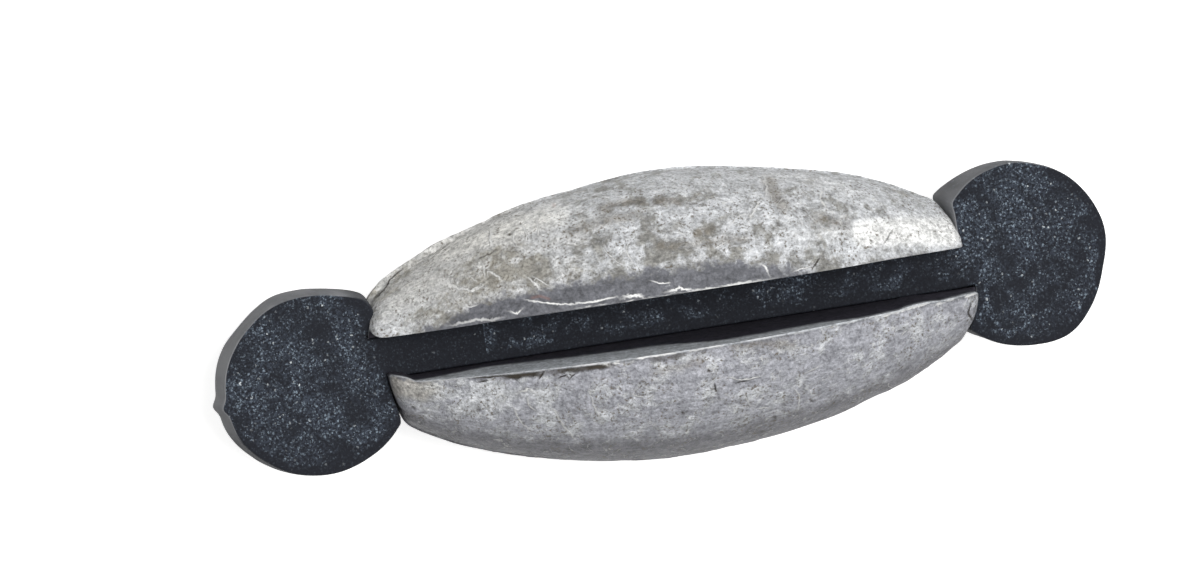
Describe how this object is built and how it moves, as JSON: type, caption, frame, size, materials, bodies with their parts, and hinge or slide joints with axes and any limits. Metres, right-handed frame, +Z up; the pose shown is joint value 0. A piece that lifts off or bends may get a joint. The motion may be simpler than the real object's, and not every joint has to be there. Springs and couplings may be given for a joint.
{
  "type": "twist-on fishing sinker",
  "caption": "Spindle-shaped cast lead weight with a deep lengthwise slot and a rubber core whose two flat round ears twist to grip a fishing line.",
  "frame": {"origin": "centre of the small flat on the lead's round belly, which the sinker lies on", "axes": "+X along the sinker towards one ear, +Z up out of the open slot, +Y across the slot"},
  "size_m": [0.0448, 0.014, 0.0135],
  "materials": {
    "cast_lead": "as cast, matt to satin grey, mottled",
    "black_rubber": "moulded, matt, with fine pale specks"
  },
  "bodies": {
    "sinker": {"lead_body": "cast_lead", "rubber_core": "black_rubber"},
    "left_ear": {"left_ear": "black_rubber"},
    "right_ear": {"right_ear": "black_rubber"}
  },
  "joints": [
    {"name": "left_twist", "type": "hinge", "parent": "sinker", "child": "left_ear", "pos_m": [-0.0146, 0, 0.00673], "axis": [-1, 0, 0], "range_deg": [-450, 450], "stiffness_Nm_per_rad": 0.00025},
    {"name": "right_twist", "type": "hinge", "parent": "sinker", "child": "right_ear", "pos_m": [0.0146, 0, 0.00673], "axis": [1, 0, 0], "range_deg": [-450, 450], "stiffness_Nm_per_rad": 0.00025}
  ]
}
